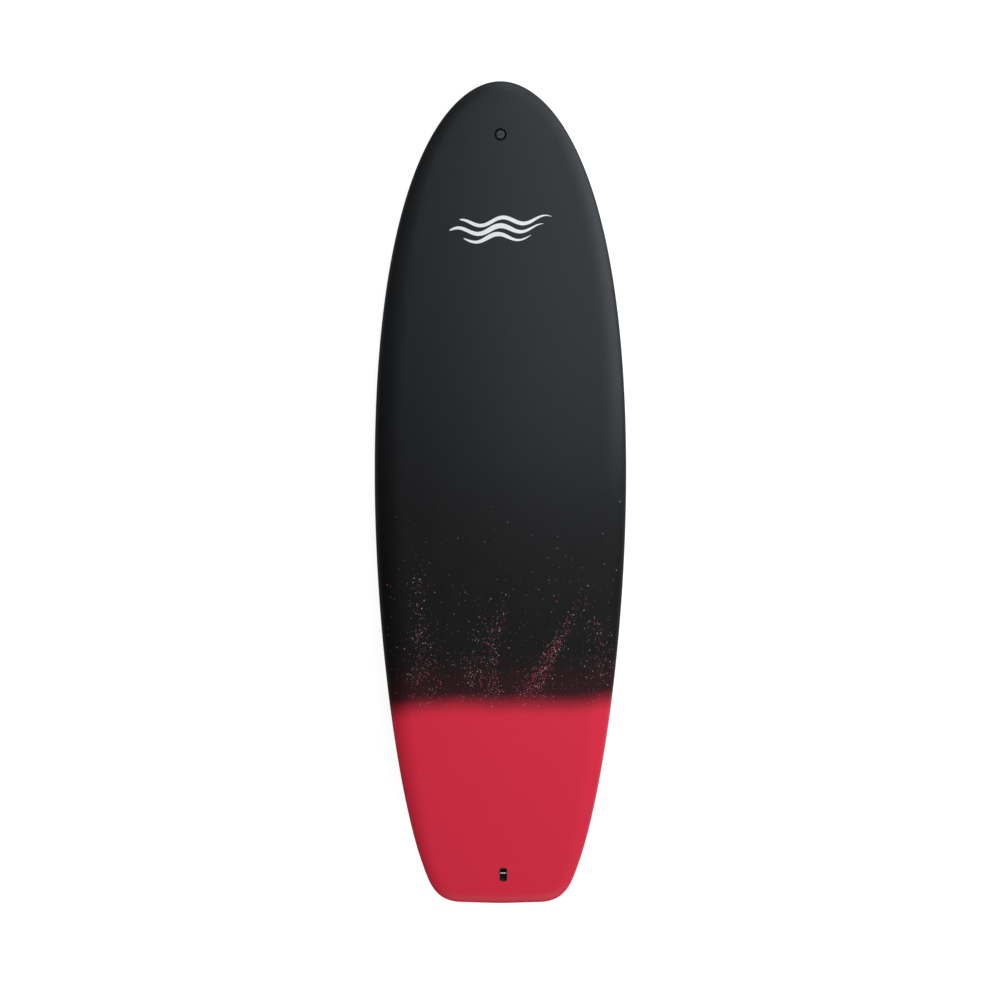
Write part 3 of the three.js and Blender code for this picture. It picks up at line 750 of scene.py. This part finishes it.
def build_leash_cup(plastic, steel):
    place_at = cup_frame()
    cup = place(smooth(loft("leash_cup_fine", cup_loops())), place_at)
    dress(cup, plastic, replaces=["leash_cup"])

    half = LEASH["width"] / 2 - LEASH["wall"] + LEASH_BAR["into_wall"]
    radius, chamfer = LEASH_BAR["radius"], 0.0003
    profile = [
        (0, -half), (radius - chamfer, -half), (radius, -half + chamfer),
        (radius, half - chamfer), (radius - chamfer, half), (0, half),
    ]
    bar = smooth(lathe("leash_bar_fine", profile, 40))
    turn = Matrix.Rotation(math.pi / 2, 4, "Y")
    shift = Matrix.Translation((0, LEASH_BAR["forward"], -LEASH_BAR["depth"]))
    place(bar, place_at @ shift @ turn)
    dress(bar, steel, replaces=["leash_bar"])


# ---- Fins. In a fin's frame +Z points out of the bottom and +Y to the nose ----
HALF_BASE = FIN["base"] / 2
LEADING_EDGE = [(HALF_BASE, 0), (0.033, 0.052), (-0.008, 0.104), (-0.072, FIN["depth"])]
TRAILING_EDGE = [(-HALF_BASE, 0), (-0.036, 0.044), (-0.052, 0.084), (-0.078, FIN["depth"] - FIN["tip_cut"])]
BLADE_HEIGHTS = [*np.linspace(0, 0.9, 26), 0.93, 0.955, 0.975, 0.99, 1]


def fin_section(height, outboard, steps=22):
    """The section of the blade at one height. A side fin is flat on its inboard face."""
    front = bezier(LEADING_EDGE, [height])[0][0]
    back = bezier(TRAILING_EDGE, [height])[0][0]
    shares = (1 - np.cos(np.linspace(0, math.pi, steps))) / 2
    most = FIN["thickness"] / 2 * (1 - 0.72 * height)
    half = 2.6 * most * np.sqrt(shares) * (1 - shares) + FIN["edge"] / 2 * np.minimum(1, 6 * shares)
    line = front + (back - front) * shares[:, None]
    flat = np.full(steps, -outboard * FIN["thickness"] / 2)
    inner, outer = (-half, half) if outboard == 0 else (flat, flat + 2 * outboard * half)
    first = np.column_stack([inner, line])
    second = np.column_stack([outer, line])[1:][::-1]
    loop = np.concatenate([first, second])
    return loop if outboard >= 0 else loop[::-1]


def tab_shape(name, grow, high):
    """A tab, or with some growth the pocket that takes it."""
    width, length = TAB["thickness"] + 2 * grow, TAB["length"] + 2 * grow
    return prism(name, width, length, TAB["corner"] + grow, -TAB["depth"] - grow, high)


def tab_frames():
    return [Matrix.Translation((0, side * TAB["spacing"] / 2, 0)) for side in (1, -1)]


def fin_box_frame(side):
    x, toe, _ = FINS[side]
    middle = -(FIN_BOX["depth"] + FIN_BOX["face"]) / 2
    return fitting_frame(side + "_fin_box", bottom_height, -1, (0, 0, middle), -x * math.radians(toe))


def build_fin(side, canted, nylon):
    outboard = -FINS[side][0]
    fin = loft(side + "_fin_fine", [fin_section(height, outboard) for height in BLADE_HEIGHTS])
    for tab_frame in tab_frames():
        tab = place(tab_shape("tab", 0, TAB["overlap"]), tab_frame)
        join = fin.modifiers.new("tab", "BOOLEAN")
        join.operation = "UNION"
        join.object = tab
        apply_modifiers(fin)
        bpy.data.objects.remove(tab)
    place(smooth(fin, 50), canted)
    dress(fin, nylon, side + "_fin", [side + "_fin"])


def build_fin_box(side, base, canted, plastic, steel):
    width, length = FIN_BOX["width"], FIN_BOX["length"]
    corner = width / 2 - ALMOST
    box = prism(side + "_fin_box_fine", width, length, corner, -FIN_BOX["depth"], -FIN_BOX["face"])
    cutters = []
    to_local = base.inverted()
    for tab_frame in tab_frames():
        slot = tab_shape("slot", TAB["clearance"], 0.006)
        cutters.append(place(slot, to_local @ canted @ tab_frame))
    for joint in frame["joints"]:
        if joint["child"].startswith(side + "_grub_screw"):
            bore = cylinder("bore", GRUB["bore"], GRUB_BORE_START, 0.03)
            cutters.append(place(bore, to_local @ axis_frame(joint)))
            build_grub_screw(joint, steel)
    box = bevel(cut(box, *cutters), 0.0004, 2)
    place(smooth(box), base)
    dress(box, plastic, replaces=[side + "_fin_box"])


def build_grub_screw(joint, steel):
    radius, length = GRUB["radius"], GRUB["length"]
    profile = [
        (0, 0), (radius - 0.0008, 0), (radius, 0.0009), (radius, length - 0.0005),
        (radius - 0.00015, length - 0.0002), (radius - 0.0005, length), (0, length),
    ]
    node = joint["child"]
    screw = lathe(node + "_fine", profile, 40)
    key = cylinder("key", GRUB["hexagon"], length - GRUB["key_depth"], length + GRUB["key_depth"], 6)
    place(smooth(cut(screw, key)), axis_frame(joint))
    dress(screw, steel, node, [node])


def build_fins(nylon, plastic, steel):
    for side, (x, _, cant) in FINS.items():
        base = fin_box_frame(side)
        canted = base @ Matrix.Rotation(-x * math.radians(cant), 4, "Y")
        build_fin(side, canted, nylon)
        build_fin_box(side, base, canted, plastic, steel)


# ---- Print and paint drops, which lie on the deck ----
def drape(points, lift):
    """Points of the plan as points just above the deck."""
    points = np.asarray(points, float)
    height = deck_height(points[:, 0], points[:, 1]) + lift
    return np.column_stack([points, height])


def stroke(spine, widths):
    """Three lines of plan points along a stroke: its left edge, its middle and its right edge."""
    spine = np.asarray(spine, float)
    along = np.gradient(spine, axis=0)
    along /= np.linalg.norm(along, axis=1, keepdims=True)
    across = np.column_stack([-along[:, 1], along[:, 0]]) * (np.asarray(widths) / 2)[:, None]
    return spine + across, spine, spine - across


EMBLEM = {"y": 0.5895, "length": 0.228, "lean": 0.05, "swell": 0.0078, "waves": 2.4, "lag": 0.06}
EMBLEM_STROKES = [  # distance ahead of the middle, start and end as shares of the length, widest
    (0.0180, 0.10, 1.00, 0.0102),
    (0.0000, 0.00, 0.92, 0.0117),
    (-0.0180, 0.14, 0.80, 0.0096),
]
INK_EDGE, INK_MIDDLE = 0.00012, 0.0002  # heights above the deck


def emblem_stroke(row, rise, start, end, widest, steps=90):
    """The top and the under side of one tapered brush stroke, as six lines of points."""
    share = np.linspace(0, 1, steps)
    along = start + (end - start) * share
    x = EMBLEM["length"] * (along - 0.5)
    swell = EMBLEM["swell"] * np.sin(2 * math.pi * (EMBLEM["waves"] * along + EMBLEM["lag"] * row))
    y = EMBLEM["y"] + rise + swell + EMBLEM["lean"] * x
    brush = 0.88 + 0.12 * np.cos(9 * share + row)
    width = np.maximum(widest * np.sin(math.pi * share**0.75) ** 0.6 * brush, 0.0006)
    edges = stroke(np.column_stack([x, y]), width)
    top = [drape(edge, lift) for edge, lift in zip(edges, (INK_EDGE, INK_MIDDLE, INK_EDGE))]
    under = [drape(edge, -INK_MIDDLE) for edge in reversed(edges)]
    return top + under


def build_emblem(ink):
    """Three tapered brush strokes in the shape of rolling waves."""
    vertices, faces = [], []
    for row, sizes in enumerate(EMBLEM_STROKES):
        lines = emblem_stroke(row, *sizes)
        first, count = len(vertices), len(lines[0])
        for line in lines:
            vertices.extend(line)
        for k in range(len(lines)):
            here, there = first + k * count, first + (k + 1) % len(lines) * count
            faces.extend((here + i, here + i + 1, there + i + 1, there + i) for i in range(count - 1))
        faces.append([first + k * count for k in range(len(lines))])
        faces.append([first + k * count + count - 1 for k in reversed(range(len(lines)))])
    emblem = tidy(new_object("wave_emblem", vertices, faces), 1e-7)
    dress(smooth(emblem, 60), ink)


# Each spray streak: plan points from the fade outwards, half width at each, drops and share of red drops.
STREAKS = [
    ([(-0.170, -0.462), (-0.170, -0.385), (-0.176, -0.300), (-0.184, -0.210), (-0.176, -0.140)],
     [0.056, 0.046, 0.028, 0.026, 0.014], 420, 0.50),
    ([(-0.014, -0.462), (-0.016, -0.390), (-0.014, -0.320), (0.004, -0.270), (0.012, -0.210)],
     [0.030, 0.024, 0.020, 0.014, 0.008], 270, 0.52),
    ([(-0.062, -0.440), (-0.062, -0.385), (-0.046, -0.325), (-0.030, -0.272), (-0.006, -0.225)],
     [0.034, 0.028, 0.024, 0.018, 0.008], 190, 0.30),
    ([(0.058, -0.460), (0.081, -0.420), (0.103, -0.377), (0.121, -0.340), (0.147, -0.300),
      (0.173, -0.250), (0.203, -0.190)],
     [0.044, 0.030, 0.021, 0.018, 0.016, 0.011, 0.008], 760, 0.78),
    ([(0.222, -0.430), (0.226, -0.360), (0.216, -0.300), (0.196, -0.250)],
     [0.044, 0.036, 0.028, 0.018], 150, 0.25),
]
SCATTERED = 700
PALE_SHARE = 0.45  # of the drops that aren't red
SCATTERED_RED_SHARE = 0.18
SCATTER_REACH = 0.50  # how far ahead of the fade scattered drops land
DROP_RADIUS, FINE_DROP_RADIUS = 0.00057, 0.00046  # medians
LEAST_RADIUS, LARGEST_RADIUS = 0.00030, 0.00120
DROP_SIDES = 7
DROP_EDGE, DROP_TOP, DROP_UNDER = 0.00004, 0.00022, -0.0003  # heights above the deck


def on_deck(x, y):
    """Whether a drop would lie ahead of the red and inside the rail's curve."""
    return y > FADE_Y - 0.01 and abs(x) < half_width(y) and rail_distance(x, y) > 0.006


def drop_places(random):
    """Places and sizes of all paint drops, and whether each is red: the streaks, then a thin scatter."""
    drops = []
    for line, spread, count, red in STREAKS:
        line, spread = np.array(line), np.array(spread)
        for _ in range(count):
            along = random.beta(1.0, 2.1) * (len(line) - 1)
            i, part = int(along), along % 1
            middle = line[i] + (line[i + 1] - line[i]) * part
            reach = spread[i] + (spread[i + 1] - spread[i]) * part
            at = middle + random.normal(0, 0.5 * reach, 2)
            size = min(DROP_RADIUS * random.lognormal(0, 0.48), LARGEST_RADIUS)
            near = 1 - along / (len(line) - 1)
            patch = 1 + 0.9 * math.sin(240 * at[0]) * math.sin(190 * at[1])
            drops.append((at, size, random.random() < red * (0.45 + 0.7 * near) * patch))
    for _ in range(SCATTERED):
        y = FADE_Y + SCATTER_REACH * random.beta(1.0, 2.4)
        x = random.uniform(-1, 1) * (half_width(y) - 0.012)
        size = FINE_DROP_RADIUS * random.lognormal(0, 0.35)
        drops.append((np.array([x, y]), size, random.random() < SCATTERED_RED_SHARE))
    return [drop for drop in drops if drop[1] > LEAST_RADIUS and on_deck(*drop[0])]


def drop_outline(random, at, size):
    """An uneven oval of plan points, drawn out lengthways or, less often, some other way."""
    turn = random.uniform(0, math.pi)
    stretch = random.uniform(1.0, 1.7)
    angles = np.arange(DROP_SIDES) * 2 * math.pi / DROP_SIDES
    radii = size * random.uniform(0.75, 1.2, DROP_SIDES)
    oval = np.column_stack([radii * np.cos(angles), stretch * radii * np.sin(angles)])
    if random.random() < 0.4:
        oval = oval @ np.array([[math.cos(turn), math.sin(turn)], [-math.sin(turn), math.cos(turn)]])
    return at + oval


def build_drops(red_ink, pale_ink, grey_ink):
    """Low domes of sprayed paint, in three colours."""
    random = np.random.default_rng(7)
    piles = {"red": ([], []), "pale": ([], []), "grey": ([], [])}
    for at, size, is_red in drop_places(random):
        tint = "red" if is_red else ("pale" if random.random() < PALE_SHARE else "grey")
        vertices, faces = piles[tint]
        first = len(vertices)
        vertices.extend(drape(drop_outline(random, at, size), DROP_EDGE))
        vertices.extend(drape([at], DROP_TOP))
        vertices.extend(drape([at], DROP_UNDER))
        top, under = first + DROP_SIDES, first + DROP_SIDES + 1
        for k in range(DROP_SIDES):
            here, there = first + k, first + (k + 1) % DROP_SIDES
            faces.append((here, there, top))
            faces.append((there, here, under))
    for tint, ink in (("red", red_ink), ("pale", pale_ink), ("grey", grey_ink)):
        drops = new_object("paint_drops_" + tint, *piles[tint])
        dress(smooth(drops, 80), ink)


# ---- Deck and bottom ----
THROUGH = 0.02  # how far a cutter reaches to each side of a skin


def hole(name, matrix, width, length, corner):
    """A cutter for a rounded slot right through a skin."""
    cutter = prism(name, width + 2 * GAP, length + 2 * GAP, corner + GAP, -THROUGH, THROUGH)
    return place(cutter, matrix)


def build_skins():
    deck = skin("deck_skin_fine", True, SKIN)
    vent = cylinder("vent_hole", VENT["radius"] + GAP, -THROUGH, THROUGH, 96)
    place(vent, vent_frame())
    leash = hole("leash_hole", cup_frame(), LEASH["width"], LEASH["length"], LEASH["corner"])
    cut(deck, vent, leash)
    dress(smooth(deck, 30), soft_skin_material(), replaces=["deck_skin"])

    bottom = skin("bottom_skin_fine", False, BOTTOM_SKIN)
    width, length = FIN_BOX["width"], FIN_BOX["length"]
    corner = width / 2 - ALMOST
    cut(bottom, *(hole("fin_hole", fin_box_frame(side), width, length, corner) for side in FINS))
    dress(smooth(bottom, 30), bottom_slick_material(), replaces=["bottom_skin"])


def dress_inner_nodes():
    finishes = {
        foam_material(): ["core_left", "core_right"],
        wood_material(): ["stringer"],
        laminate_material(): ["deck_laminate"],
        membrane_material(): ["vent_membrane"],
        rubber_material(): ["vent_o_ring"],
    }
    for material, nodes in finishes.items():
        for node in nodes:
            frame["nodes"][node].data.materials.clear()
            frame["nodes"][node].data.materials.append(material)


# ---- Stage ----
REST_Y, REST_SLOPE = 0.435, 0.1001  # where the belly touches a floor that the side fins' tips also touch
FLOOR_REACH, FLOOR_GAP = 30, 0.0005
BACKDROP_GLOW = 0.86


def floor_material():
    """White from above and clear from below, so that the board's underside can be looked at."""
    s = Shader("floor", Roughness=0.9, Specular_IOR_Level=0.1)
    s.colour((0.38, 0.38, 0.38, 1))
    s.bsdf.inputs["Emission Color"].default_value = (1, 1, 1, 1)
    seen = s.node("ShaderNodeLightPath").outputs["Is Camera Ray"]
    s.feed(s.bsdf.inputs["Emission Strength"], s.math("MULTIPLY", seen, BACKDROP_GLOW))
    mix = s.node("ShaderNodeMixShader")
    s.feed(mix.inputs[0], s.node("ShaderNodeNewGeometry").outputs["Backfacing"])
    s.feed(mix.inputs[1], s.bsdf.outputs[0])
    s.feed(mix.inputs[2], s.node("ShaderNodeBsdfTransparent").outputs[0])
    s.feed(s.tree.nodes["Material Output"].inputs["Surface"], mix.outputs[0])
    return s.material


def build_stage():
    """A plain floor that touches the side fins' tips and the belly, as the board rests on the ground."""
    height = float(rocker(REST_Y)) - FLOOR_GAP
    corners = []
    for side_x, side_y in ((-1, -1), (1, -1), (1, 1), (-1, 1)):
        x, y = FLOOR_REACH * side_x, FLOOR_REACH * side_y
        corners.append((x, y, height + REST_SLOPE * (y - REST_Y)))
    floor = new_object("floor", corners, [(0, 1, 2, 3)])
    floor.data.materials.append(floor_material())
    floor.visible_shadow = False  # lets the low light below it reach the board's underside


COOL = (0.94, 0.99, 1.05)


def area_light(name, location, target, size, radiance, turn=0):
    """A softbox of an even brightness, which no camera sees."""
    data = bpy.data.lights.new(name, "AREA")
    data.shape = "RECTANGLE"
    data.size, data.size_y = size
    data.color = COOL
    data.energy = radiance * math.pi * size[0] * size[1]
    light = bpy.data.objects.new(name, data)
    light.location = location
    light.rotation_mode = "QUATERNION"
    aim = (Vector(target) - Vector(location)).to_track_quat("-Z", "Y")
    light.rotation_quaternion = aim @ Quaternion((0, 0, 1), math.radians(turn))
    light.visible_camera = False
    bpy.context.scene.collection.objects.link(light)


def world_ramp(tree, value, low, high, to_low, to_high):
    node = tree.nodes.new("ShaderNodeMapRange")
    tree.links.new(value, node.inputs["Value"])
    numbers = {"From Min": low, "From Max": high, "To Min": to_low, "To Max": to_high}
    for name, number in numbers.items():
        node.inputs[name].default_value = number
    return node.outputs[0]


def world_math(tree, operation, *values):
    node = tree.nodes.new("ShaderNodeMath")
    node.operation = operation
    for value, socket in zip(values, node.inputs):
        tree.links.new(value, socket)
    return node.outputs[0]


def brightness_around(tree, left=0.02, right=0.16, ends=1.90):
    """How bright each direction is: dim on the left, brightest beyond the board's ends."""
    ways = tree.nodes.new("ShaderNodeSeparateXYZ")
    tree.links.new(tree.nodes.new("ShaderNodeTexCoord").outputs["Generated"], ways.inputs[0])
    x, y, z = ways.outputs
    sideways = world_ramp(tree, x, -1, 1, left, right)
    lengthways = world_ramp(tree, world_math(tree, "ABSOLUTE", y), 0.3, 0.8, 0, ends)
    lengthways = world_math(tree, "MULTIPLY", lengthways, world_ramp(tree, x, -0.7, 0.7, 0.20, 1.50))
    lengthways = world_math(tree, "MULTIPLY", lengthways, world_ramp(tree, z, 0.1, 0.5, 0.15, 1.05))
    return world_math(tree, "ADD", sideways, lengthways)


def build_world():
    """A white backdrop for the camera, and light from all round for the board."""
    world = bpy.data.worlds.new("studio")
    world.use_nodes = True
    bpy.context.scene.world = world
    tree = world.node_tree
    around = tree.nodes["Background"]
    tree.links.new(brightness_around(tree), around.inputs["Strength"])
    backdrop = tree.nodes.new("ShaderNodeBackground")
    for background in (around, backdrop):
        background.inputs["Color"].default_value = (1, 1, 1, 1)
    mix = tree.nodes.new("ShaderNodeMixShader")
    tree.links.new(tree.nodes.new("ShaderNodeLightPath").outputs["Is Camera Ray"], mix.inputs[0])
    tree.links.new(around.outputs[0], mix.inputs[1])
    tree.links.new(backdrop.outputs[0], mix.inputs[2])
    tree.links.new(mix.outputs[0], tree.nodes["World Output"].inputs["Surface"])


def build_lights():
    """One softbox over the nose, one at its right like a window, and one below for the underside."""
    build_world()
    area_light("top", (0.50, 1.11, 2.00), (0.50, 1.11, 0.0), (1.5, 1.9), 1.48, turn=22)
    area_light("window", (1.20, 0.80, 0.80), (0.0, 0.80, 0.80), (1.3, 1.5), 2.2)
    area_light("under", (0.9, -0.9, -1.4), (0.0, -0.1, 0.0), (1.6, 2.2), 3.0)


def build_camera():
    """Looks straight down at the deck, with the nose at the top of the picture."""
    data = bpy.data.cameras.new("camera")
    data.lens = 120
    data.sensor_width = 36
    data.clip_end = 100
    camera = bpy.data.objects.new("camera", data)
    view_height = 2.233
    distance = view_height / data.sensor_width * data.lens
    camera.location = (-0.001, -0.0138, THICKNESS + distance)
    bpy.context.scene.collection.objects.link(camera)
    bpy.context.scene.camera = camera


# ---- The scene ----
build_camera()
build_lights()
build_stage()
plastic = moulded_material("moulded_plastic", (0.0045, 0.0045, 0.0050))
# Near-black with little shine: the housing's black plastic, darkened further as painted shade in the ring
# round the screw.
vent_black_and_shade = moulded_material("vent_body_plastic_and_shade", (0.0012, 0.0012, 0.0014), 0.6, 0.75, gloss=0.08)
steel = steel_material()
nylon = fin_material()
build_skins()
build_vent(vent_black_and_shade, moulded_material("vent_screw_plastic", (0.018, 0.020, 0.021), 0.45, 0.6))
build_leash_cup(plastic, steel)
build_fins(nylon, plastic, steel)
build_emblem(print_material("white_ink", (0.80, 0.81, 0.82), (0.70, 0.71, 0.72)))
build_drops(
    print_material("red_drops", (0.41, 0.046, 0.080), (0.28, 0.026, 0.050)),
    print_material("pale_drops", (0.50, 0.30, 0.33), (0.32, 0.19, 0.21)),
    print_material("grey_drops", (0.200, 0.175, 0.185), (0.120, 0.105, 0.111)),
)
dress_inner_nodes()

scene = bpy.context.scene
scene.view_settings.view_transform = "Standard"
